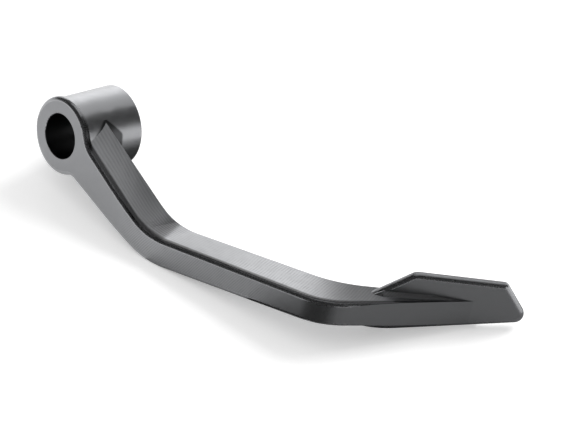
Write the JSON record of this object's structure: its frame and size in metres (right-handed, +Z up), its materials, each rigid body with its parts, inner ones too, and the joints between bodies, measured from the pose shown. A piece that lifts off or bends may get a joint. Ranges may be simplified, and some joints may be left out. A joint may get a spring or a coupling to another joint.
{
  "type": "brake lever guard",
  "caption": "One-piece milled lever guard: a ring with a long barrel for the bar end, and a bent arm that sweeps inwards to an upright blade in front of the lever's tip.",
  "frame": {"origin": "centre of the bounding box's underside, with the piece lying as it rests on a table", "axes": "+X forwards along the arm, from the ring to the blade; +Y inwards, towards the handlebar (the bore's axis lies within 15.1 degrees of it); +Z up from the table"},
  "size_m": [0.1878, 0.0862, 0.0359],
  "materials": {
    "guard_arm": "black anodised over fine milling lines, satin"
  },
  "bodies": {
    "root": {"guard_arm": "guard_arm"}
  },
  "joints": []
}
